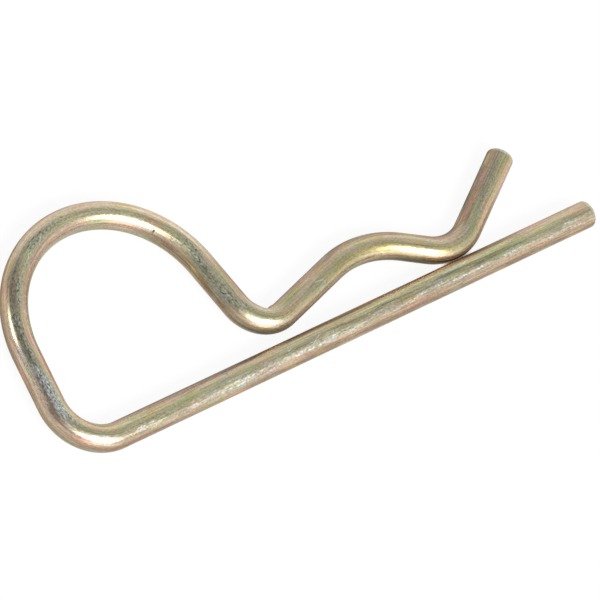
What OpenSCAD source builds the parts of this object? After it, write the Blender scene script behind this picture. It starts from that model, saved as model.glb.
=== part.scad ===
// Hitch R clip: a spring clip bent from one length of round steel wire.
// The straight leg passes through the cross hole of a shaft, and the wavy leg snaps round
// the outside of the shaft. The bow is the spring that holds the two legs together.
// The clip lies flat. Its straight leg runs along X with the free end at +X, and the wavy leg
// lies on the +Y side of it. Angles are measured from the straight leg, and bend radii
// are inside radii, as on the tool that the wire is bent round.

/* [Wire] */
// Diameter of the wire
wire_d = 4; // [3:0.1:5]
// Radius of the rounded edge at both sheared ends
end_round = 0.4; // [0.1:0.05:1]

/* [Straight leg and heel] */
// Length of the straight leg, from its free end to the heel bend
leg_len = 88; // [75:0.5:120]
// Inside radius of the heel, where the straight leg turns up
heel_in = 5; // [2:0.5:9]
// Angle of the rise from the heel to the bow
rise_angle = 84; // [70:0.5:90]
// Length of the straight rise between the heel and the bow
rise_len = 8; // [3:0.5:16]

/* [Bow and neck] */
// Inside radius of the bow
bow_in = 14.5; // [12:0.5:20]
// Angle of the neck, which comes down from the bow to the valley
neck_angle = 79.5; // [65:0.5:90]

/* [Wavy leg] */
// Inside radius of the valley, where the neck turns along the straight leg
valley_in = 3; // [1:0.5:6]
// Clear height between the straight leg and the valley
valley_gap = 1.4; // [0.4:0.1:3]
// Angle of the climb from the valley to the crest
climb_angle = 15.5; // [12:0.5:28]
// Length of the straight climb
climb_len = 11.5; // [8:0.5:16]
// Inside radius of the crest, which seats on the shaft
crest_in = 13.5; // [8:0.5:20]
// Angle of the drop from the crest to the mouth
drop_angle = 29.5; // [24:0.5:36]
// Inside radius of the mouth bend, which closes on the straight leg
mouth_in = 5.5; // [3:0.5:10]
// Clear height between the straight leg and the mouth bend, with the clip at rest
mouth_gap = 0.1; // [0.05:0.05:1]
// Angle of the flared lip that leads the shaft in
lip_angle = 33; // [20:0.5:50]
// Length of the straight lip, up to its free end
lip_len = 14; // [6:0.5:20]

/* [Hidden] */

$fn = 48;
// The wire is laid out in metres, and the whole clip is then scaled to millimetres
metre = 1000;
wire_r = wire_d / 2;

// Radii of the bends at the middle of the wire
heel_r = heel_in + wire_r;
bow_r = bow_in + wire_r;
valley_r = valley_in + wire_r;
crest_r = crest_in + wire_r;
mouth_r = mouth_in + wire_r;

// Angles that the bends turn through
heel_turn = 180 - rise_angle;
bow_turn = rise_angle + neck_angle;
valley_turn = neck_angle + climb_angle;
crest_turn = climb_angle + drop_angle;
mouth_turn = drop_angle + lip_angle;

// How far a bend that starts along the straight leg moves across it and along it
function rise(r, turn) = r * (1 - cos(turn));
function reach(r, turn) = r * sin(turn);

// Heights of the middle of the wire above the middle of the straight leg
bow_foot_y = rise(heel_r, heel_turn) + rise_len * sin(rise_angle);
bow_top_y = bow_foot_y + rise(bow_r, rise_angle);
neck_top_y = bow_top_y - rise(bow_r, neck_angle);
valley_y = wire_d + valley_gap;
neck_foot_y = valley_y + rise(valley_r, neck_angle);
climb_top_y = valley_y + rise(valley_r, climb_angle) + climb_len * sin(climb_angle);
crest_y = climb_top_y + rise(crest_r, climb_angle);
drop_top_y = crest_y - rise(crest_r, drop_angle);
drop_foot_y = wire_d + mouth_gap + rise(mouth_r, drop_angle);

// The neck and the drop are as long as the two clear heights need
neck_len = (neck_top_y - neck_foot_y) / sin(neck_angle);
drop_len = (drop_top_y - drop_foot_y) / sin(drop_angle);

// Distances along the straight leg, from the start of the heel towards the free ends
neck_top_x = rise_len * cos(rise_angle) - reach(heel_r, heel_turn)
    + reach(bow_r, rise_angle) + reach(bow_r, neck_angle);
valley_x = neck_top_x + neck_len * cos(neck_angle) + reach(valley_r, neck_angle);
crest_x = valley_x + reach(valley_r, climb_angle) + climb_len * cos(climb_angle)
    + reach(crest_r, climb_angle);
mouth_x = crest_x + reach(crest_r, drop_angle) + drop_len * cos(drop_angle)
    + reach(mouth_r, drop_angle);
lip_tip_x = mouth_x + reach(mouth_r, lip_angle) + lip_len * cos(lip_angle)
    + wire_r * sin(lip_angle);

// Middle of the outline, which stands over the origin
mid_x = (max(leg_len, lip_tip_x) - heel_r - wire_r) / 2;
mid_y = bow_top_y / 2;

// A straight stretch of wire along X, with what follows it at its far end
module run(len) {
    rotate([0, 90, 0]) cylinder(h = len / metre, r = wire_r / metre);
    translate([len / metre, 0, 0]) children();
}

// The same wire bent round a middle radius r, from the angle at its start
module bend(r, turn, start) {
    rotate_extrude(angle = turn, start = start)
        translate([r / metre, 0]) circle(r = wire_r / metre);
}

// A stretch of wire that turns to the left, with what follows it at its far end
module bend_left(turn, r) {
    translate([0, r / metre, 0]) {
        bend(r, turn, -90);
        rotate([0, 0, turn]) translate([0, -r / metre, 0]) children();
    }
}

// A stretch of wire that turns to the right, with what follows it at its far end
module bend_right(turn, r) {
    translate([0, -r / metre, 0]) {
        bend(r, turn, 90 - turn);
        rotate([0, 0, -turn]) translate([0, r / metre, 0]) children();
    }
}

// The last of the wire at a sheared end: a flat face inside a rounded edge
module sheared_end() {
    flat_r = (wire_r - end_round) / metre;
    edge_r = end_round / metre;
    rotate([0, 90, 0]) rotate_extrude() {
        square([flat_r, edge_r]);
        translate([flat_r, 0]) intersection() {
            circle(r = edge_r);
            square(edge_r);
        }
    }
}

// The whole wire, from the free end of the straight leg to the free end of the lip
module r_clip() {
    color("#b0a77c")
    translate([leg_len - mid_x, -mid_y, wire_r])
    rotate([0, 0, 180])
    scale(metre)
    translate([end_round / metre, 0, 0]) {
        rotate([0, 0, 180]) sheared_end();
        run(leg_len - end_round)
        bend_right(heel_turn, heel_r)
        run(rise_len)
        bend_right(bow_turn, bow_r)
        run(neck_len)
        bend_left(valley_turn, valley_r)
        run(climb_len)
        bend_right(crest_turn, crest_r)
        run(drop_len)
        bend_left(mouth_turn, mouth_r)
        run(lip_len - end_round)
        sheared_end();
    }
}

r_clip();
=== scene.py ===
# Hitch R clip: a clip bent from one length of spring wire, with a yellow zinc finish.
# The wire is swept along its bends, and its finish follows the wire round every bend.
import math

import bpy
from mathutils import Matrix, Vector


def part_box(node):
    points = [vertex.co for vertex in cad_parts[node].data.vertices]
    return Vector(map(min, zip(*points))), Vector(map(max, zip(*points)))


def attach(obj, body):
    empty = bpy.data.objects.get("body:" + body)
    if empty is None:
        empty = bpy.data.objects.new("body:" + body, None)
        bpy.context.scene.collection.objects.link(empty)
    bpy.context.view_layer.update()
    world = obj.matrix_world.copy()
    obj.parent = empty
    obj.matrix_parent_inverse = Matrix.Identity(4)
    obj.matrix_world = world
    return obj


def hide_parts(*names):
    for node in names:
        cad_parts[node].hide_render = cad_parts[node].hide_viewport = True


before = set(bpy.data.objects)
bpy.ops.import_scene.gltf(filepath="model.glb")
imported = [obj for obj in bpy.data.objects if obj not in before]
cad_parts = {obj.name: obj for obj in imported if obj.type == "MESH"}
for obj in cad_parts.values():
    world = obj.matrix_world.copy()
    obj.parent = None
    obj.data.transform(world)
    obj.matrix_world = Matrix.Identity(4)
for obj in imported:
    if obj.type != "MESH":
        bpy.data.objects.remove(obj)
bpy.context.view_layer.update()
WIRE_LOW, WIRE_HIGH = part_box("r_clip")

bl_info = {
    "name": "Hitch R Clip",
    "version": (1, 0, 0),
    "blender": (4, 5, 0),
    "location": "View3D > Sidebar > R Clip",
    "description": "Bends the wire of a hitch R clip and gives it a yellow zinc finish",
    "category": "Object",
}

MM = 0.001

# Kept on the mesh for the finish to read: how far each place is along the wire, towards its inner side,
# which faces the other leg, and towards its top
ALONG = "along_wire"
INNER = "wire_inner"
UPPER = "wire_upper"

# Kept on the mesh only while the wire is swept
MIDDLE = "middle"
HEADING = "heading"


def length(name, default, words):
    """A size in metres, whose default is given in millimetres."""
    return bpy.props.FloatProperty(
        name=name, description=words, default=default * MM, subtype="DISTANCE", unit="LENGTH")


def angle(name, default, words):
    """An angle whose default is given in degrees."""
    return bpy.props.FloatProperty(
        name=name, description=words, default=math.radians(default), subtype="ANGLE")


def linear(code):
    """The linear RGBA of an sRGB hex colour such as #B0A77C."""
    channels = [int(code[i:i + 2], 16) / 255 for i in (1, 3, 5)]
    return [c / 12.92 if c <= 0.04045 else ((c + 0.055) / 1.055) ** 2.4 for c in channels] + [1.0]


def colour(name, default, words):
    """A colour whose default is given as an sRGB hex code."""
    return bpy.props.FloatVectorProperty(
        name=name, description=words, default=linear(default), size=4, min=0, max=1, subtype="COLOR")


def power(name, default, words):
    """The power of a lamp in watts."""
    return bpy.props.FloatProperty(name=name, description=words, default=default, min=0, unit="POWER")


class ClipSizes(bpy.types.PropertyGroup):
    """Sizes of the bent wire. Radii are inside radii, and angles are from the straight leg."""

    wire_diameter: length("Wire diameter", (WIRE_HIGH.z - WIRE_LOW.z) / MM, "Diameter of the wire")
    end_round: length("End round", 0.4, "Radius of the rounded edge at both sheared ends")
    heel_inside: length("Heel radius", 5, "Inside radius where the straight leg turns up")
    rise_angle: angle("Rise angle", 84, "Angle of the rise from the heel to the bow")
    rise_length: length("Rise length", 8, "Length of the straight rise")
    bow_inside: length("Bow radius", 14.5, "Inside radius of the bow")
    neck_angle: angle("Neck angle", 79.5, "Angle of the neck that comes down from the bow")
    valley_inside: length("Valley radius", 3, "Inside radius where the neck turns along the leg")
    valley_gap: length("Valley gap", 1.4, "Clear height between the straight leg and the valley")
    climb_angle: angle("Climb angle", 15.5, "Angle of the climb from the valley to the crest")
    climb_length: length("Climb length", 11.5, "Length of the straight climb")
    crest_inside: length("Crest radius", 13.5, "Inside radius of the crest")
    drop_angle: angle("Drop angle", 29.5, "Angle of the drop from the crest to the mouth")
    mouth_inside: length("Mouth radius", 5.5, "Inside radius of the mouth bend")
    mouth_gap: length("Mouth gap", 0.1, "Clear height between the straight leg and the mouth")
    lip_angle: angle("Lip angle", 33, "Angle of the flared lip")
    lip_length: length("Lip length", 14, "Length of the straight lip")


class ClipMarks(bpy.types.PropertyGroup):
    """Marks of making, and the mesh that shows them. A place is how far along the wire from the leg's end."""

    wire_length: length("Wire length", 220.9, "Length along the middle of the wire")
    crease_place: length("Crease place", 167.65, "Place of the bending tool's crease inside the valley")
    crease_depth: length("Crease depth", 0.5, "Depth of the crease")
    crease_lead: length("Crease lead", 1.6, "How gently the surface sinks towards the crease")
    crease_width: length("Crease width", 0.8, "How gently the surface rises beyond the crease")
    unevenness: length("Unevenness", 0.02, "How far the surface sinks here and there")
    seed: bpy.props.FloatProperty(name="Seed", description="Seed of the uneven places", default=4.0)
    end_dome: length("End dome", 0.06, "How far the middle of a sheared end stands out")
    ring_step: length("Ring step", 0.25, "Distance between the mesh's rings along the wire")
    sides: bpy.props.IntProperty(name="Sides", description="Faces round the wire", default=88, min=12)


class ClipFinish(bpy.types.PropertyGroup):
    """Colours of the finish: first the film's, in order round the wire, then those of what lies in it."""

    grey_straw: colour("Grey straw", "#AEA895", "Film on the inner side")
    buff: colour("Buff", "#AE9F8B", "Film above the inner side")
    salmon: colour("Salmon", "#CBA899", "Salmon line of the inner shoulder")
    pale_green: colour("Pale green", "#BFBD97", "Green line of the inner shoulder")
    straw: colour("Straw", "#B0AB88", "Film just inside the top")
    olive: colour("Olive", "#ABA484", "Film just outside the top")
    cream: colour("Cream", "#BEB49A", "Film on the outer shoulder")
    sand: colour("Sand", "#C0AC94", "Film below the outer shoulder")
    tan: colour("Tan", "#A0866F", "Film above the outer side")
    brown: colour("Brown", "#8F7D69", "Film on the outer side")
    drab: colour("Drab", "#9C9782", "Film under the outer side")
    rose: colour("Rose", "#B2958A", "Rose line underneath")
    sage: colour("Sage", "#B0B08C", "Green line underneath")
    wheat: colour("Wheat", "#B9A98C", "Film underneath")
    clay: colour("Clay", "#AB977A", "Film under the inner side")
    bronze: colour("Bronze", "#7A664C", "Dark film and painted shade along the inner side")
    thick: colour("Thick film", "#A4B47C", "Green clouds, where the film is thick")
    thin: colour("Thin film", "#CE9B86", "Salmon clouds, where the film is thin")
    yellow_wash: colour("Yellow wash", "#BCA766", "Yellow clouds")
    grey_wash: colour("Grey wash", "#A0A2A0", "Grey clouds")
    pale_thread: colour("Pale threads", "#DCD8C4", "Pale drawing lines")
    dark_thread: colour("Dark threads", "#6E664A", "Dark drawing lines")
    frost: colour("Frost", "#96978A", "Frosted plate on the bends")
    cold_frost: colour("Cold frost", "#B9BFC2", "Frosted plate beside the heel")
    scuff: colour("Scuff", "#B8B8A8", "Scuffed film on the straight leg")
    scratch: colour("Scratch", "#DADED6", "Fine scratches")
    burr: colour("Burr", "#D4D2C2", "Bright edge of the sheared ends")
    end_face: colour("End face", "#A8A496", "Faces of the sheared ends")
    edge_tint: colour("Edge tint", "#ECE7E0", "Tint of the metal at a grazing angle")


class ClipStage(bpy.types.PropertyGroup):
    """The floor and the soft boxes."""

    floor_colour: colour("Floor colour", "#F4F4F4", "Colour of the matt floor")
    floor_side: length("Floor side", 6000, "Length of each side of the floor")
    front_power: power("Front power", 8.0, "Power of the front soft box")
    back_power: power("Back power", 1.5, "Power of the back soft box")
    lamp_distance: length("Lamp distance", 900, "Distance of the soft boxes from the clip")


def add_node(tree, kind, inputs=(), **settings):
    """Adds a node with its settings. Each input gets a value, or the node or socket that feeds it."""
    made = tree.nodes.new(kind)
    for name, value in settings.items():
        setattr(made, name, value)
    given = inputs.items() if isinstance(inputs, dict) else enumerate(inputs)
    for socket, value in given:
        if isinstance(value, bpy.types.Node):
            value = value.outputs[0]
        if isinstance(value, bpy.types.NodeSocket):
            tree.links.new(value, made.inputs[socket])
        else:
            made.inputs[socket].default_value = value
    return made


def bends(size):
    """The wire's stretches in order from the straight leg's free end: (length, radius, turn to the left)."""
    wire = size.wire_diameter
    heel, bow, valley, crest, mouth = (
        inside + wire / 2 for inside in (
            size.heel_inside, size.bow_inside, size.valley_inside,
            size.crest_inside, size.mouth_inside))
    # Heights of the middle of the wire above the middle of the straight leg
    bow_foot = heel * (1 + math.cos(size.rise_angle)) + size.rise_length * math.sin(size.rise_angle)
    neck_top = bow_foot + bow * (math.cos(size.neck_angle) - math.cos(size.rise_angle))
    neck_foot = wire + size.valley_gap + valley * (1 - math.cos(size.neck_angle))
    climb_foot = wire + size.valley_gap + valley * (1 - math.cos(size.climb_angle))
    climb_top = climb_foot + size.climb_length * math.sin(size.climb_angle)
    drop_top = climb_top + crest * (math.cos(size.drop_angle) - math.cos(size.climb_angle))
    drop_foot = wire + size.mouth_gap + mouth * (1 - math.cos(size.drop_angle))
    neck_length = (neck_top - neck_foot) / math.sin(size.neck_angle)
    drop_length = (drop_top - drop_foot) / math.sin(size.drop_angle)
    leg_length = WIRE_HIGH.x - WIRE_LOW.x - size.heel_inside - wire
    return [
        (leg_length, None, None),
        (None, heel, -(math.pi - size.rise_angle)),
        (size.rise_length, None, None),
        (None, bow, -(size.rise_angle + size.neck_angle)),
        (neck_length, None, None),
        (None, valley, size.neck_angle + size.climb_angle),
        (size.climb_length, None, None),
        (None, crest, -(size.climb_angle + size.drop_angle)),
        (drop_length, None, None),
        (None, mouth, size.drop_angle + size.lip_angle),
        (size.lip_length, None, None),
    ]


def centre_line(size, step):
    """Points of the wire's middle, a step apart, from one free end to the other."""
    radius = size.wire_diameter / 2
    height = WIRE_LOW.z + radius
    place = Vector((WIRE_HIGH.x, WIRE_LOW.y + radius, height))
    heading = math.pi
    points = [place.copy()]
    for run, bend, turn in bends(size):
        if bend is None:
            count = max(1, round(run / step))
            ahead = Vector((math.cos(heading), math.sin(heading), 0))
            points += [place + ahead * run * i / count for i in range(1, count + 1)]
        else:
            count = max(2, round(abs(turn) * bend / step))
            side = math.copysign(bend, turn)
            middle = place + Vector((-math.sin(heading), math.cos(heading), 0)) * side
            for i in range(1, count + 1):
                now = heading + turn * i / count
                points.append(middle + Vector((math.sin(now), -math.cos(now), 0)) * side)
            heading += turn
        place = points[-1].copy()
    return points


# Rings of the mesh on the face and on the rounded edge of a sheared end, and the share of a ring's step
# that the small cap in the middle of the face takes up
FACE_RINGS = 8
EDGE_RINGS = 6
CAP_SHARE = 0.05


def end_rings(size, dome):
    """Rings of a sheared end: (distance from the tip, share of the wire's radius), tip first."""
    radius = size.wire_diameter / 2
    edge = size.end_round
    flat = radius - edge
    rings = []
    for i in range(FACE_RINGS):
        share = (i + CAP_SHARE) / FACE_RINGS
        rings.append((dome * share ** 2, share * flat / radius))
    for i in range(EDGE_RINGS + 1):
        swing = math.radians(90) * i / EDGE_RINGS
        rings.append((dome + edge * (1 - math.cos(swing)), (flat + edge * math.sin(swing)) / radius))
    return rings


def wire_stations(size, step, dome):
    """The middle of every ring along the wire, with its share of the wire's radius."""
    points = centre_line(size, step)
    rings = end_rings(size, dome)
    reach = rings[-1][0]
    trimmed = [p for p in points if (p - points[0]).length > reach + step / 2
               and (p - points[-1]).length > reach + step / 2]
    stations = []
    for tip, inward in ((points[0], points[1] - points[0]), (points[-1], points[-2] - points[-1])):
        inward.normalize()
        stations.append([(tip + inward * depth, share) for depth, share in rings])
    return stations[0] + [(p, 1.0) for p in trimmed] + stations[1][::-1]


MATH = "ShaderNodeMath"
VECTOR = "ShaderNodeVectorMath"
NOISE = "ShaderNodeTexNoise"
STORE = "GeometryNodeStoreNamedAttribute"
READ = "GeometryNodeInputNamedAttribute"

# Uneven places: how many there are to the metre in x, y and z
DIPS_PER_METRE = (160, 160, 350)

# How quickly the crease fades round the wire, away from the inside of the valley
CREASE_NARROWS = 3.0


def wire_tree():
    """Geometry Nodes that sweep the wire along its middle and mark every place on it."""
    tree = bpy.data.node_groups.new("Swept wire", "GeometryNodeTree")
    sockets = (
        ("Geometry", "INPUT", "NodeSocketGeometry"),
        ("Wire Diameter", "INPUT", "NodeSocketFloat"),
        ("Sides", "INPUT", "NodeSocketInt"),
        ("Unevenness", "INPUT", "NodeSocketFloat"),
        ("Crease Place", "INPUT", "NodeSocketFloat"),
        ("Crease Depth", "INPUT", "NodeSocketFloat"),
        ("Crease Width", "INPUT", "NodeSocketFloat"),
        ("Crease Lead", "INPUT", "NodeSocketFloat"),
        ("Seed", "INPUT", "NodeSocketFloat"),
        ("Material", "INPUT", "NodeSocketMaterial"),
        ("Geometry", "OUTPUT", "NodeSocketGeometry"),
    )
    for name, way, kind in sockets:
        tree.interface.new_socket(name=name, in_out=way, socket_type=kind)
    given = add_node(tree, "NodeGroupInput").outputs
    radius = add_node(tree, MATH, (given["Wire Diameter"], 2.0), operation="DIVIDE")

    # The middle of each ring and the wire's heading there go along to the swept mesh
    place = add_node(tree, "GeometryNodeInputPosition")
    heading = add_node(tree, "GeometryNodeInputTangent")
    line = add_node(tree, STORE, {
        "Geometry": given["Geometry"], "Name": MIDDLE, "Value": place}, data_type="FLOAT_VECTOR")
    line = add_node(tree, STORE, {
        "Geometry": line, "Name": HEADING, "Value": heading}, data_type="FLOAT_VECTOR")
    reach = add_node(tree, "GeometryNodeSplineParameter").outputs["Length"]
    line = add_node(tree, STORE, {"Geometry": line, "Name": ALONG, "Value": reach})
    ring = add_node(tree, "GeometryNodeCurvePrimitiveCircle", {
        "Resolution": given["Sides"], "Radius": radius}, mode="RADIUS")
    share = add_node(tree, "GeometryNodeInputRadius")
    swept = add_node(tree, "GeometryNodeCurveToMesh", {
        "Curve": line, "Profile Curve": ring, "Scale": share, "Fill Caps": True})

    # How far each point lies towards the wire's right side, which is its inner side, and towards its top
    middle = add_node(tree, READ, {"Name": MIDDLE}, data_type="FLOAT_VECTOR")
    ahead = add_node(tree, READ, {"Name": HEADING}, data_type="FLOAT_VECTOR")
    offset = add_node(tree, VECTOR, (place, middle), operation="SUBTRACT")
    right = add_node(tree, VECTOR, (ahead, (0, 0, 1)), operation="CROSS_PRODUCT")
    for name, way in ((INNER, right), (UPPER, (0, 0, 1))):
        reached = add_node(tree, VECTOR, (offset, way), operation="DOT_PRODUCT").outputs["Value"]
        part = add_node(tree, MATH, (reached, radius), operation="DIVIDE")
        swept = add_node(tree, STORE, {"Geometry": swept, "Name": name, "Value": part})

    # Drawn wire is not quite round, and its surface sinks a little here and there
    spread = add_node(tree, VECTOR, (place, DIPS_PER_METRE), operation="MULTIPLY")
    dips = add_node(tree, NOISE, {
        "Vector": spread, "W": given["Seed"], "Scale": 1.0, "Detail": 2.0}, noise_dimensions="4D")
    sunk = add_node(tree, MATH, (dips, given["Unevenness"]), operation="MULTIPLY")

    # The bending tool pressed a short crease across the inside of the valley
    run = add_node(tree, READ, {"Name": ALONG})
    away = add_node(tree, MATH, (run, given["Crease Place"]), operation="SUBTRACT")
    beyond = add_node(tree, MATH, (away, given["Crease Width"]), operation="DIVIDE")
    ahead_of = add_node(tree, MATH, (away, given["Crease Lead"]), operation="DIVIDE")
    before = add_node(tree, MATH, (ahead_of, -1.0), operation="MULTIPLY")
    steps = add_node(tree, MATH, (beyond, before), operation="MAXIMUM")
    square = add_node(tree, MATH, (steps, 2.0), operation="POWER")
    fade = add_node(tree, MATH, (square, -1.0), operation="MULTIPLY")
    across = add_node(tree, MATH, (fade,), operation="EXPONENT")
    side = add_node(tree, READ, {"Name": INNER})
    left = add_node(tree, MATH, (side, -1.0), operation="MULTIPLY")
    facing = add_node(tree, MATH, (left, 0.0), operation="MAXIMUM")
    narrow = add_node(tree, MATH, (facing, CREASE_NARROWS), operation="POWER")
    shape = add_node(tree, MATH, (across, narrow), operation="MULTIPLY")
    pressed = add_node(tree, MATH, (shape, given["Crease Depth"]), operation="MULTIPLY")

    depth = add_node(tree, MATH, (sunk, pressed), operation="ADD")
    back = add_node(tree, MATH, (depth, -1.0), operation="MULTIPLY")
    normal = add_node(tree, "GeometryNodeInputNormal")
    inward = add_node(tree, VECTOR, {"Vector": normal, "Scale": back}, operation="SCALE")
    shaped = add_node(tree, "GeometryNodeSetPosition", {"Geometry": swept, "Offset": inward})
    for name in (MIDDLE, HEADING):
        shaped = add_node(tree, "GeometryNodeRemoveAttribute", {"Geometry": shaped, "Name": name})
    smooth = add_node(tree, "GeometryNodeSetShadeSmooth", {"Geometry": shaped, "Shade Smooth": True})
    real = add_node(tree, "GeometryNodeRealizeInstances", {"Geometry": smooth})
    coated = add_node(tree, "GeometryNodeSetMaterial", {
        "Geometry": real, "Material": given["Material"]})
    add_node(tree, "NodeGroupOutput", (coated,))
    return tree


def run_tree(host, tree, values):
    """Runs the tree on the host, with its inputs set by name, and returns the plain mesh."""
    modifier = host.modifiers.new("Swept wire", "NODES")
    modifier.node_group = tree
    sockets = {item.name: item.identifier for item in tree.interface.items_tree
               if item.in_out == "INPUT"}
    for name, value in values.items():
        modifier[sockets[name]] = value
    graph = bpy.context.evaluated_depsgraph_get()
    mesh = bpy.data.meshes.new_from_object(host.evaluated_get(graph), depsgraph=graph)
    host.modifiers.remove(modifier)
    return mesh


MIX = "ShaderNodeMix"
RANGE = "ShaderNodeMapRange"
ATTRIBUTE = "ShaderNodeAttribute"
SOFT = {"interpolation_type": "SMOOTHSTEP"}

# The film: degrees round the wire from its inner side over the top, and the colour there
FILM = (
    (0, "grey_straw"),
    (28, "buff"),
    (45, "salmon"),
    (66, "pale_green"),
    (80, "straw"),
    (97, "olive"),
    (112, "cream"),
    (130, "sand"),
    (150, "tan"),
    (165, "brown"),
    (190, "drab"),
    (215, "rose"),
    (250, "sage"),
    (290, "wheat"),
    (330, "clay"),
)

# What changes along the wire, at mm from the straight leg's free end: how many degrees the film turns
# round the wire, and how much of it is frosted and bronzed
TURNED = (
    (0, 0), (58, 0), (76, 12), (88, 5), (102, 20), (122, 18), (140, -6), (152, -12), (158, -36),
    (162, -30), (166, -4), (176, -8), (188, -15), (199, -15), (208, 0), (221, 0),
)
FROSTED = (
    (0, 0), (93, 0), (98, 1), (122, 1), (130, 0.3), (147, 0.15), (152, 0.9), (161, 0.9), (167, 0), (221, 0),
)
# Bronzed: darker brown along the inner side, partly the film's colour and partly painted shade
BRONZED = (
    (0, 0.4), (60, 0.5), (84, 0.9), (91, 0.2), (140, 0), (149, 0.9), (160, 1), (165, 0.3), (172, 0), (221, 0),
)

# Grains of the finish: mm across the wire, mm along it, seed, detail. Real drawing lines are a few
# hundredths of a mm apart, which is too fine to show, so they are drawn about 0.2 mm apart.
FILM_WAVER = (2.5, 12.0, 1.0, 3.0)
FILM_FRAY = (0.35, 7.0, 7.0, 3.0)
FILM_CLOUD = (0.9, 6.0, 2.0, 3.0)
WASH_CLOUD = (1.1, 4.5, 11.0, 3.0)
DRAWN_LINES = (0.22, 6.0, 3.0, 3.0)
DRAWN_THREADS = (0.16, 10.0, 8.0, 2.0)
PLATE_SPECKS = (0.22, 0.4, 4.0, 2.0)
FROST_CLOUD = (1.0, 6.0, 5.0, 3.0)
SCUFF_CLOUD = (0.6, 5.0, 6.0, 3.0)
SCUFF_WISPS = (0.28, 2.2, 9.0, 4.0)

# How far the film's lines waver and fray round the wire, in turns
WAVER = 0.09
FRAY = 0.12

# Places on the wire: the middle and half the width in degrees round it, then the start, the end and the
# length of both soft ends in mm along it. Both legs face each other at 0 degrees.
FACING_LEG = (28, 34, 163.5, 210.0, 5.0)
UNDER_MOUTH = (30, 34, 16.0, 66.0, 12.0)
OUTER_LIP = (148, 40, 206.0, 225.0, 6.0)
FROSTED_LIP = (98, 22, 203.0, 217.0, 5.0)
SCUFFED_LEG = (110, 36, -5.0, 93.0, 3.0)
LINED_LEG = (89, 5, 4.0, 50.0, 16.0)
COLD_NECK = (32, 16, 158.0, 161.6, 1.4)
RISE_SEAM = (112, 6, 102.0, 111.0, 5.0)

# The burr at both sheared ends, in the same form, but in mm from the nearer end
BURRED_EDGE = (95, 70, 0.32, 0.62, 0.1)

# Painted shade and painted light over the film: what each is, its place, its colour, and how much of the
# colour it has
PAINTED_LIGHT_AND_SHADE = (
    # Painted shade along the side away from the leg, from the climb to the lip, and on the crest
    ("side away from the leg", (184, 38, 167.0, 225.0, 3.0), "#4C4338", 0.9),
    ("crest away from the leg", (160, 30, 183.0, 206.0, 6.0), "#574C3F", 0.9),
    # Painted light on the side that faces the leg
    ("side that faces the leg", FACING_LEG, "#E8D8B4", 0.75),
    # Painted shade along the edge that faces the leg
    ("edge that faces the leg", (0, 24, 163.5, 210.0, 5.0), "#4E4636", 0.8),
    # Darker yellow where the front box's highlight falls on the crest: a painted dimming of that highlight
    ("shoulder of the crest", (66, 26, 179.0, 202.0, 8.0), "#B8A468", 0.6),
    # Painted shade inside the bow
    ("inside of the bow", (42, 34, 104.0, 123.0, 8.0), "#7B7854", 0.75),
    # Painted light on the outside of the bow, at its end and on the outside of the rise
    ("outside of the bow", (122, 46, 120.0, 154.0, 8.0), "#DCCBB0", 0.6),
    ("end of the bow", (112, 32, 143.0, 155.0, 5.0), "#DCCBB0", 0.45),
    ("outside of the rise", (142, 40, 99.0, 109.0, 5.0), "#DECFC0", 0.45),
    # Painted shade along the edges of the climb and the lip
    ("edge of the climb", (17, 16, 169.0, 184.0, 5.0), "#6A5E48", 0.7),
    ("edge of the lip", (18, 18, 208.0, 224.0, 3.0), "#84745C", 0.6),
)

# Patches over the clouds of the film, in the same form: film colours, painted shade under the mouth bend, and
# a darker inner edge of the leg by the heel
PATCHES = (
    # Painted shade on the leg where the mouth bend lies over it
    ("painted shade under the mouth", UNDER_MOUTH, "#86724E", 0.75),
    ("inner edge of the leg", (20, 30, 62.0, 88.0, 8.0), "#4E3F32", 0.95),
    ("tan of the lip", (60, 28, 206.0, 225.0, 5.0), "#CDAA88", 0.4),
    ("blue patch on the leg", (72, 10, 25.6, 28.4, 1.6), "#C2CED2", 0.55),
    ("grey patch on the leg", (90, 8, 41.2, 42.9, 1.0), "#A6AEB4", 0.6),
    ("mauve patch on the leg", (77, 8, 72.4, 74.2, 1.0), "#A89CA8", 0.5),
    ("red patch in the heel", (136, 18, 92.6, 94.8, 1.4), "#CE7868", 0.65),
    ("green patch on the climb", (126, 20, 170.5, 174.5, 2.0), "#A4B464", 0.55),
    ("green patch on the leg", (152, 22, 69.0, 75.0, 3.0), "#98A66C", 0.45),
)

# Small marks over everything else, in the same form
NICKS = (
    ("nick in the bow", (46, 20, 145.95, 146.3, 0.12), "#3A3328", 0.9),
    ("tick in the leg", (62, 9, 68.5, 68.7, 0.12), "#4A4030", 0.6),
    ("first ring on the bow", (62, 46, 113.3, 113.55, 0.12), "#CFC894", 0.5),
    ("second ring on the bow", (62, 46, 116.1, 116.3, 0.12), "#CFC894", 0.35),
)

# Pale scratches: mm along the wire, then degrees round it, each from start to end
SCRATCHES = (
    (23.4, 24.8, 56, 70),
    (52.0, 53.8, 80, 106),
    (120.5, 123.4, 60, 102),
    (125.0, 126.6, 73, 97),
    (176.8, 178.2, 95, 78),
    (183.0, 183.6, 65, 47),
)

# Half a scratch's width in degrees, and the length of its soft ends in mm
SCRATCH_HALF = 4
SCRATCH_FADE = 0.4

# Noise lies mostly between these two levels
NOISE_LOW = 0.28
NOISE_HIGH = 0.72


def grain(tree, place, across, along, seed, detail):
    """Noise in grains of the given size in mm, drawn out along the wire."""
    scaled = add_node(tree, VECTOR, (place, (1 / along, 1 / across, 1 / across)), operation="MULTIPLY")
    return add_node(tree, NOISE, {
        "Vector": scaled, "W": seed, "Scale": 1.0, "Detail": detail}, noise_dimensions="4D").outputs[0]


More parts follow.
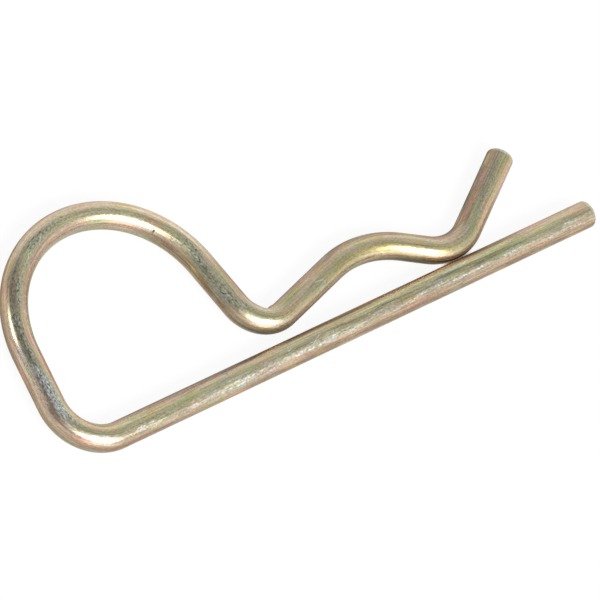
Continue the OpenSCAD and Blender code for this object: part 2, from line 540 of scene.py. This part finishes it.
def band(tree, turn, middle, width):
    """1 at an angle in degrees round the wire, fading to 0 at a width to either side of it."""
    gap = add_node(tree, MATH, (turn, middle / 360), operation="SUBTRACT")
    near = add_node(tree, MATH, (gap, 0.5, -0.5), operation="WRAP")
    size = add_node(tree, MATH, (near,), operation="ABSOLUTE")
    return add_node(tree, RANGE, {
        "Value": size, "From Min": 0.0, "From Max": width / 360, "To Min": 1.0, "To Max": 0.0}, **SOFT)


def stretch(tree, run, start, end, fade):
    """1 between two distances in mm along the wire, fading to 0 over a length in mm at each of them."""
    begun = add_node(tree, RANGE, {
        "Value": run, "From Min": start - fade / 2, "From Max": start + fade / 2}, **SOFT)
    over = add_node(tree, RANGE, {
        "Value": run, "From Min": end - fade / 2, "From Max": end + fade / 2,
        "To Min": 1.0, "To Max": 0.0}, **SOFT)
    return add_node(tree, MATH, (begun, over), operation="MULTIPLY")


def patch(tree, run, turn, middle, width, start, end, fade):
    """1 in a place on the wire, and 0 away from it."""
    beside = band(tree, turn, middle, width)
    between = stretch(tree, run, start, end, fade)
    return add_node(tree, MATH, (beside, between), operation="MULTIPLY")


def patch_layers(tree, run, turn, table):
    """Layers of paint for a table of patches: (name, colour, share, masks)."""
    return [(name, linear(code), share, (patch(tree, run, turn, *place),))
            for name, place, code, share in table]


def scratch_mask(tree, run, turn, start, end, first, last):
    """1 along a fine straight mark from one place to another, in mm along the wire and degrees round it."""
    line = add_node(tree, RANGE, {
        "Value": run, "From Min": start, "From Max": end, "To Min": first / 360, "To Max": last / 360})
    beside = add_node(tree, MATH, (turn, line), operation="SUBTRACT")
    return patch(tree, run, beside, 0, SCRATCH_HALF, start, end, SCRATCH_FADE)


def along_wire(tree, run, table):
    """The value of a table of (mm along the wire, value), joined smoothly."""
    values = [value for _, value in table]
    low, high = min(values), max(values)
    share = add_node(tree, MATH, (run, table[-1][0]), operation="DIVIDE")
    curve = add_node(tree, "ShaderNodeFloatCurve", {"Value": share})
    points = curve.mapping.curves[0].points
    for _ in table[1:-1]:
        points.new(0.5, 0.5)
    for point, (distance, value) in zip(points, table):
        point.location = (distance / table[-1][0], (value - low) / (high - low))
    curve.mapping.update()
    return add_node(tree, RANGE, {"Value": curve, "To Min": low, "To Max": high})


def film_turn(tree, run, turn, place):
    """Turns round the wire as the film sees them, with its twist in the bends and its wavering lines."""
    twist = add_node(tree, MATH, (along_wire(tree, run, TURNED), 360.0), operation="DIVIDE")
    moved = add_node(tree, MATH, (turn, twist), operation="SUBTRACT")
    for grains, most in ((FILM_WAVER, WAVER), (FILM_FRAY, FRAY)):
        waver = add_node(tree, MATH, (grain(tree, place, *grains), 0.5), operation="SUBTRACT")
        shift = add_node(tree, MATH, (waver, most), operation="MULTIPLY")
        moved = add_node(tree, MATH, (moved, shift), operation="ADD")
    return moved


def film_colour(tree, film, finish):
    """The film's colours round the wire."""
    whole = add_node(tree, MATH, (film,), operation="FRACT")
    ramp = add_node(tree, "ShaderNodeValToRGB", (whole,))
    stops = ramp.color_ramp.elements
    stops[0].color = stops[1].color = getattr(finish, FILM[0][1])
    for degrees, name in FILM[1:]:
        stops.new(degrees / 360).color = getattr(finish, name)
    return ramp.outputs[0]


def yellow_zinc(size, marks, finish):
    """Yellow zinc passivate on drawn spring wire.

    Zinc plate under a thin chromate film: a metal whose film gives lines of straw, green and salmon along
    the wire. Drawing leaves fine threads along it, bending leaves a frosted grey band, and handling leaves
    pale scuffs and scratches.
    """
    # Besides the film's own colours, layers below paint shade along edges and inside the bow, and paint light
    # outside the bow and rise
    material = bpy.data.materials.new("Yellow zinc passivate")
    material.use_nodes = True
    tree = material.node_tree
    shader = tree.nodes["Principled BSDF"]

    # Where on the wire: mm along it, turns round it, and the place in mm with the wire pulled straight
    inner = add_node(tree, ATTRIBUTE, attribute_name=INNER).outputs["Fac"]
    upper = add_node(tree, ATTRIBUTE, attribute_name=UPPER).outputs["Fac"]
    travelled = add_node(tree, ATTRIBUTE, attribute_name=ALONG).outputs["Fac"]
    radius = size.wire_diameter / 2 / MM
    run = add_node(tree, MATH, (travelled, 1 / MM), operation="MULTIPLY")
    inward = add_node(tree, MATH, (inner, radius), operation="MULTIPLY")
    upward = add_node(tree, MATH, (upper, radius), operation="MULTIPLY")
    place = add_node(tree, "ShaderNodeCombineXYZ", (run, inward, upward))
    radians = add_node(tree, MATH, (upper, inner), operation="ARCTAN2")
    turn = add_node(tree, MATH, (radians, 1 / (2 * math.pi)), operation="MULTIPLY")
    film = film_turn(tree, run, turn, place)

    # Each mask is 0 where its noise is at the first level and 1 where it is at the second
    clouds = grain(tree, place, *FILM_CLOUD)
    washes = grain(tree, place, *WASH_CLOUD)
    lines = grain(tree, place, *DRAWN_LINES)
    threads = grain(tree, place, *DRAWN_THREADS)
    specks = grain(tree, place, *PLATE_SPECKS)
    levels = (
        (clouds, 0.54, 0.70), (clouds, 0.46, 0.30),
        (washes, 0.56, 0.70), (washes, 0.44, 0.30),
        (threads, 0.58, 0.66), (threads, 0.42, 0.34),
        (specks, 0.53, 0.62), (specks, 0.47, 0.38),
        (grain(tree, place, *FROST_CLOUD), 0.32, 0.55),
        (grain(tree, place, *SCUFF_CLOUD), 0.38, 0.56),
        (grain(tree, place, *SCUFF_WISPS), 0.48, 0.62),
    )
    thick, thin, yellow, grey, pale, dark, flecks, pits, frost_cloud, scuff_cloud, wisps = [
        add_node(tree, RANGE, {"Value": noise, "From Min": low, "From Max": high}, **SOFT)
        for noise, low, high in levels]

    # Frost on the bends, and less of it on the lip
    on_bends = add_node(tree, MATH, (band(tree, film, 86, 32), along_wire(tree, run, FROSTED)),
                        operation="MULTIPLY")
    on_lip = add_node(tree, MATH, (patch(tree, run, turn, *FROSTED_LIP), 0.55), operation="MULTIPLY")
    either = add_node(tree, MATH, (on_bends, on_lip), operation="MAXIMUM")
    frost = add_node(tree, MATH, (either, frost_cloud), operation="MULTIPLY")
    by_heel = stretch(tree, run, 94.0, 107.0, 5.0)
    scuffed = patch(tree, run, film, *SCUFFED_LEG)
    scuffs = add_node(tree, MATH, (scuffed, scuff_cloud), operation="MULTIPLY")

    # mm from the nearer end, for the sheared ends' rolled edge and its burr
    beyond = add_node(tree, MATH, (marks.wire_length / MM, run), operation="SUBTRACT")
    tip = add_node(tree, MATH, (run, beyond), operation="MINIMUM")
    rolled = add_node(tree, RANGE, {"Value": tip, "From Min": 0.34, "From Max": 0.22}, **SOFT)

    # Layers of paint over the film, painted shade and painted light among them: what each is, its colour, how
    # much of it, and the masks that hold it
    layers = [
        # Darker bronze along the inner side, partly the film's colour and partly painted shade
        ("bronze film and painted shade", finish.bronze, 1.0, (band(tree, turn, 8, 42), along_wire(tree, run, BRONZED))),
        # Painted shade on the outside of the lip
        ("outside of the lip", linear("#8C7664"), 0.7, (patch(tree, run, film, *OUTER_LIP),)),
        *patch_layers(tree, run, turn, PAINTED_LIGHT_AND_SHADE),
        ("thick film", finish.thick, 0.7, (thick,)),
        ("thin film", finish.thin, 0.7, (thin,)),
        ("yellow wash", finish.yellow_wash, 0.5, (yellow,)),
        ("grey wash", finish.grey_wash, 0.45, (grey,)),
        *patch_layers(tree, run, turn, PATCHES),
        ("pale threads", finish.pale_thread, 0.3, (pale,)),
        ("dark threads", finish.dark_thread, 0.4, (dark,)),
        ("frost", finish.frost, 0.85, (frost,)),
        ("cold neck", linear("#A6ABA8"), 0.6, (patch(tree, run, turn, *COLD_NECK),)),
        ("seam of the rise", linear("#4C4636"), 0.4, (patch(tree, run, turn, *RISE_SEAM),)),
        ("cold frost", finish.cold_frost, 0.6, (frost, by_heel)),
        ("flecks in frost", linear("#D0D6D6"), 0.4, (frost, flecks)),
        ("flecks in cold frost", linear("#D6DCDC"), 0.6, (frost, by_heel, flecks)),
        ("pits in frost", linear("#3E4035"), 0.8, (frost, pits)),
        ("scuffs", finish.scuff, 0.3, (scuffs,)),
        ("wisps in scuffs", linear("#D2D8D8"), 0.45, (scuffs, wisps)),
        ("flecks in wisps", linear("#E6ECEE"), 0.6, (scuffs, wisps, flecks)),
        ("pits in scuffs", linear("#837F6B"), 0.4, (scuffs, pits)),
        ("line along the leg", linear("#6E6A45"), 0.6, (patch(tree, run, film, *LINED_LEG),)),
        ("rolled edge of the ends", linear("#807C72"), 0.8, (rolled,)),
        ("burr of the ends", finish.burr, 0.6, (patch(tree, tip, turn, *BURRED_EDGE),)),
        *patch_layers(tree, run, turn, NICKS),
    ]
    for scratch in SCRATCHES:
        layers.append(("scratch", finish.scratch, 0.6, (scratch_mask(tree, run, turn, *scratch),)))
    coat = film_colour(tree, film, finish)
    for name, shade, share, masks in layers:
        for mask in masks:
            share = add_node(tree, MATH, (mask, share), operation="MULTIPLY")
        coat = add_node(tree, MIX, {0: share, 6: coat, 7: shade}, data_type="RGBA", label=name).outputs[2]

    # Drawing lines and grains of plate make the colour lighter and darker
    for noise, weakest, strongest in ((lines, 0.75, 1.23), (specks, 0.79, 1.19)):
        light = add_node(tree, RANGE, {
            "Value": noise, "From Min": NOISE_LOW, "From Max": NOISE_HIGH,
            "To Min": weakest, "To Max": strongest})
        coat = add_node(tree, VECTOR, {"Vector": coat, "Scale": light}, operation="SCALE")

    # Sheared end faces are grey, where the film is thin
    inner_part = add_node(tree, MATH, (inner, 2.0), operation="POWER")
    upper_part = add_node(tree, MATH, (upper, 2.0), operation="POWER")
    outward = add_node(tree, MATH, (inner_part, upper_part), operation="ADD")
    face = add_node(tree, RANGE, {"Value": outward, "From Min": 0.70, "From Max": 0.62}, **SOFT)
    coat = add_node(tree, MIX, {0: face, 6: coat, 7: finish.end_face}, data_type="RGBA").outputs[2]
    tree.links.new(coat, shader.inputs["Base Color"])

    # Smoothest where the film is whole, and duller where the plate is frosted, scuffed, rubbed or cut
    rough = add_node(tree, RANGE, {
        "Value": specks, "From Min": 0.3, "From Max": 0.7, "To Min": 0.26, "To Max": 0.33})
    rubbed = patch(tree, run, turn, *UNDER_MOUTH)
    facing = patch(tree, run, turn, *FACING_LEG)
    for mask, more in ((frost, 0.18), (scuffs, 0.12), (rubbed, 0.15), (facing, 0.12), (face, 0.2)):
        part = add_node(tree, MATH, (mask, more), operation="MULTIPLY")
        rough = add_node(tree, MATH, (rough, part), operation="ADD")
    tree.links.new(rough.outputs[0], shader.inputs["Roughness"])

    # The lines and grains stand about 0.02 mm high
    relief = add_node(tree, MATH, (lines, specks), operation="ADD")
    bump = add_node(tree, "ShaderNodeBump", {"Strength": 0.11, "Distance": 0.02 * MM, "Height": relief})
    tree.links.new(bump.outputs[0], shader.inputs["Normal"])

    shader.inputs["Metallic"].default_value = 1.0
    shader.inputs["Specular Tint"].default_value = finish.edge_tint
    return material


class RCLIP_OT_wire(bpy.types.Operator):
    """Bend the wire of the clip and coat it"""

    bl_idname = "rclip.wire"
    bl_label = "Bent Wire"

    def execute(self, context):
        size = context.scene.clip_sizes
        marks = context.scene.clip_marks
        stations = wire_stations(size, marks.ring_step, marks.end_dome)
        curve = bpy.data.curves.new("Middle of the wire", "CURVE")
        curve.dimensions = "3D"
        curve.twist_mode = "Z_UP"
        spline = curve.splines.new("POLY")
        spline.points.add(len(stations) - 1)
        for point, (place, share) in zip(spline.points, stations):
            point.co = (*place, 1)
            point.radius = share
        host = bpy.data.objects.new("Middle of the wire", curve)
        context.scene.collection.objects.link(host)
        mesh = run_tree(host, wire_tree(), {
            "Wire Diameter": size.wire_diameter,
            "Sides": marks.sides,
            "Unevenness": marks.unevenness,
            "Crease Place": marks.crease_place,
            "Crease Depth": marks.crease_depth,
            "Crease Width": marks.crease_width,
            "Crease Lead": marks.crease_lead,
            "Seed": marks.seed,
            "Material": yellow_zinc(size, marks, context.scene.clip_finish),
        })
        bpy.data.objects.remove(host)
        clip = bpy.data.objects.new("bent_wire", mesh)
        context.scene.collection.objects.link(clip)
        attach(clip, "root")
        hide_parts("r_clip")
        return {"FINISHED"}


class RCLIP_OT_stage(bpy.types.Operator):
    """Lay the floor, hang the lamps and set up the camera"""

    bl_idname = "rclip.stage"
    bl_label = "Stage"

    def execute(self, context):
        scene = context.scene
        stage = scene.clip_stage
        lay_floor(scene, stage)
        light_studio(scene)
        for name, watts, width, depth, direction in SOFT_BOXES:
            hang_lamp(scene, name, getattr(stage, watts), width, depth, direction, stage.lamp_distance)
        place_camera(scene)
        scene.view_settings.view_transform = "Standard"
        return {"FINISHED"}


# How much of the floor shows as plain white to the camera, and in metal and glass. The rest is lit.
WHITE_IN_VIEW = 0.92
WHITE_IN_METAL = 0.4

# The floor seen through the gap where the mouth bend rests on the leg stays in full shade: its place, and
# how far the full shade and its soft edge reach, in mm
GAP_FLOOR = (26.2, -12.5, 0.0)
GAP_SHADE = 1.0
GAP_EDGE = 3.2


def lay_floor(scene, stage):
    """A matt white floor that keeps the clip's shadow, and shows as plain white round it."""
    half = stage.floor_side / 2
    mesh = bpy.data.meshes.new("floor")
    corners = [(-half, -half, 0), (half, -half, 0), (half, half, 0), (-half, half, 0)]
    mesh.from_pydata(corners, [], [(0, 1, 2, 3)])
    floor = bpy.data.objects.new("floor", mesh)
    material = bpy.data.materials.new("Matt white floor")
    material.use_nodes = True
    tree = material.node_tree
    matt = tree.nodes["Principled BSDF"]
    matt.inputs["Base Color"].default_value = stage.floor_colour
    matt.inputs["Roughness"].default_value = 1.0
    rays = add_node(tree, "ShaderNodeLightPath").outputs
    mirrored = add_node(tree, MATH, (rays["Is Glossy Ray"], rays["Is Transmission Ray"]), operation="MAXIMUM")
    in_metal = add_node(tree, MATH, (mirrored, WHITE_IN_METAL), operation="MULTIPLY")
    here = add_node(tree, "ShaderNodeTexCoord").outputs["Object"]
    from_gap = add_node(tree, VECTOR, (here, [c * MM for c in GAP_FLOOR]), operation="SUBTRACT")
    away = add_node(tree, VECTOR, (from_gap,), operation="LENGTH").outputs["Value"]
    open_floor = add_node(tree, RANGE, {
        "Value": away, "From Min": GAP_SHADE * MM, "From Max": GAP_EDGE * MM}, **SOFT)
    seen = add_node(tree, MATH, (rays["Is Camera Ray"], open_floor), operation="MULTIPLY")
    in_view = add_node(tree, MATH, (seen, WHITE_IN_VIEW), operation="MULTIPLY")
    shown = add_node(tree, MATH, (in_view, in_metal), operation="MAXIMUM")
    white = add_node(tree, "ShaderNodeEmission", {"Color": (1, 1, 1, 1), "Strength": 1.0})
    mixed = add_node(tree, "ShaderNodeMixShader", (shown, matt, white))
    tree.links.new(mixed.outputs[0], tree.nodes["Material Output"].inputs["Surface"])
    mesh.materials.append(material)
    scene.collection.objects.link(floor)


# Soft boxes: name, the size that holds its power, width and depth in metres, direction from the clip
SOFT_BOXES = (
    ("front box", "front_power", 0.60, 0.30, (-0.082, -0.671, 0.737)),
    ("back box", "back_power", 0.24, 0.13, (-0.73, 0.57, 0.375)),
)

# The studio's walls: their level at two heights of the line of sight, and at the left and right
WALL_HEIGHTS = (0.05, 0.75)
WALL_LEVELS = (0.98, 0.66)
SIDE_LEVELS = (1.0, 1.2)

# The dimmer stripe between the soft boxes: the direction across it, its place along that, its half
# width and that of its soft edge, and its level
STRIPE_ACROSS = (0.209, -0.976, -0.056)
STRIPE_PLACE = -0.30
STRIPE_HALF = 0.03
STRIPE_EDGE = 0.26
STRIPE_LEVEL = 0.9

# The dark corner: its direction, the cosines at its edge and in its middle, and its level
CORNER = (-0.60, 0.56, 0.57)
CORNER_EDGE = 0.45
CORNER_MIDDLE = 0.85
CORNER_LEVEL = 0.42

# White cards that fill the dark sides: name, direction, cosine at the edge, and how much light they add
CARDS = (
    ("front card", (-0.14, -0.99, 0.0), 0.78, 0.9),
    ("right card", (0.78, 0.41, 0.47), 0.88, 0.35),
)


def hang_lamp(scene, name, watts, width, depth, direction, distance):
    """A soft box that faces the clip."""
    data = bpy.data.lights.new(name, "AREA")
    data.shape = "RECTANGLE"
    data.size = width
    data.size_y = depth
    data.energy = watts
    lamp = bpy.data.objects.new(name, data)
    away = Vector(direction).normalized()
    lamp.location = away * distance
    lamp.rotation_euler = away.to_track_quat("Z", "Y").to_euler()
    scene.collection.objects.link(lamp)


def light_studio(scene):
    """Pale walls all round, with a dimmer stripe between the soft boxes, a dark corner and two cards."""
    world = bpy.data.worlds.new("Studio")
    world.use_nodes = True
    tree = world.node_tree
    looking = add_node(tree, "ShaderNodeTexCoord").outputs["Generated"]
    split = add_node(tree, "ShaderNodeSeparateXYZ", (looking,)).outputs
    wall = add_node(tree, RANGE, {
        "Value": split["Z"], "From Min": WALL_HEIGHTS[0], "From Max": WALL_HEIGHTS[1],
        "To Min": WALL_LEVELS[0], "To Max": WALL_LEVELS[1]}, **SOFT)
    side = add_node(tree, RANGE, {
        "Value": split["X"], "From Min": -1.0, "From Max": 1.0,
        "To Min": SIDE_LEVELS[0], "To Max": SIDE_LEVELS[1]})
    across = add_node(tree, VECTOR, (looking, STRIPE_ACROSS), operation="DOT_PRODUCT").outputs["Value"]
    offset = add_node(tree, MATH, (across, STRIPE_PLACE), operation="SUBTRACT")
    size = add_node(tree, MATH, (offset,), operation="ABSOLUTE")
    stripe = add_node(tree, RANGE, {
        "Value": size, "From Min": STRIPE_HALF, "From Max": STRIPE_EDGE,
        "To Min": STRIPE_LEVEL, "To Max": 1.0}, **SOFT)
    towards = add_node(tree, VECTOR, (looking, CORNER), operation="DOT_PRODUCT").outputs["Value"]
    corner = add_node(tree, RANGE, {
        "Value": towards, "From Min": CORNER_EDGE, "From Max": CORNER_MIDDLE,
        "To Min": 1.0, "To Max": CORNER_LEVEL}, **SOFT)
    level = wall
    for part in (side, stripe, corner):
        level = add_node(tree, MATH, (level, part), operation="MULTIPLY")
    for name, direction, narrow, more in CARDS:
        towards = add_node(tree, VECTOR, (looking, direction), operation="DOT_PRODUCT").outputs["Value"]
        lit = add_node(tree, RANGE, {
            "Value": towards, "From Min": narrow, "From Max": 1.0, "To Min": 0.0, "To Max": more}, **SOFT)
        level = add_node(tree, MATH, (level, lit), operation="ADD", label=name)
    # Behind the clip the camera sees plain white
    rays = add_node(tree, "ShaderNodeLightPath").outputs
    level = add_node(tree, MATH, (level, rays["Is Camera Ray"]), operation="MAXIMUM")
    background = tree.nodes["Background"]
    background.inputs["Color"].default_value = (1, 1, 1, 1)
    tree.links.new(level.outputs[0], background.inputs["Strength"])
    scene.world = world


# The photograph's viewpoint: where the camera stands from the point that it looks at, in degrees and
# metres, how far it is turned about its own line of sight, and its lens and sensor in mm
CAMERA_AZIMUTH = -73.46
CAMERA_ELEVATION = 54.19
CAMERA_DISTANCE = 1.3925
CAMERA_AIM = (-0.00185, -0.00887, 0.002)
CAMERA_ROLL = 44.78
CAMERA_LENS = 597.0
CAMERA_SENSOR = 36.0
CAMERA_REACH = 10.0


def place_camera(scene):
    """A camera with a long lens at the photograph's viewpoint."""
    azimuth = math.radians(CAMERA_AZIMUTH)
    elevation = math.radians(CAMERA_ELEVATION)
    roll = math.radians(CAMERA_ROLL)
    back = Vector((math.cos(elevation) * math.sin(azimuth), -math.cos(elevation) * math.cos(azimuth),
                   math.sin(elevation)))
    right = Vector((0, 0, 1)).cross(back).normalized()
    up = back.cross(right)
    turned_right = right * math.cos(roll) + up * math.sin(roll)
    turned_up = up * math.cos(roll) - right * math.sin(roll)
    data = bpy.data.cameras.new("Camera")
    data.sensor_width = CAMERA_SENSOR
    data.lens = CAMERA_LENS
    data.clip_end = CAMERA_REACH
    camera = bpy.data.objects.new("Camera", data)
    pose = Matrix((turned_right, turned_up, back)).transposed().to_4x4()
    pose.translation = Vector(CAMERA_AIM) + back * CAMERA_DISTANCE
    camera.matrix_world = pose
    scene.collection.objects.link(camera)
    scene.camera = camera


class RCLIP_PT_panel(bpy.types.Panel):
    """The clip's sizes and colours, and the buttons that make it"""

    bl_label = "Hitch R Clip"
    bl_space_type = "VIEW_3D"
    bl_region_type = "UI"
    bl_category = "R Clip"

    def draw(self, context):
        for name, kind in GROUPS.items():
            for entry in kind.__annotations__:
                self.layout.prop(getattr(context.scene, name), entry)
        for operator in OPERATORS:
            self.layout.operator(operator.bl_idname)


GROUPS = {
    "clip_sizes": ClipSizes,
    "clip_marks": ClipMarks,
    "clip_finish": ClipFinish,
    "clip_stage": ClipStage,
}
OPERATORS = (RCLIP_OT_wire, RCLIP_OT_stage)
CLASSES = (*GROUPS.values(), *OPERATORS, RCLIP_PT_panel)


def register():
    for made in CLASSES:
        bpy.utils.register_class(made)
    for name, kind in GROUPS.items():
        setattr(bpy.types.Scene, name, bpy.props.PointerProperty(type=kind))


def unregister():
    for name in GROUPS:
        delattr(bpy.types.Scene, name)
    for made in reversed(CLASSES):
        bpy.utils.unregister_class(made)


def main():
    register()
    bpy.ops.rclip.wire()
    bpy.ops.rclip.stage()


if __name__ == "__main__":
    main()
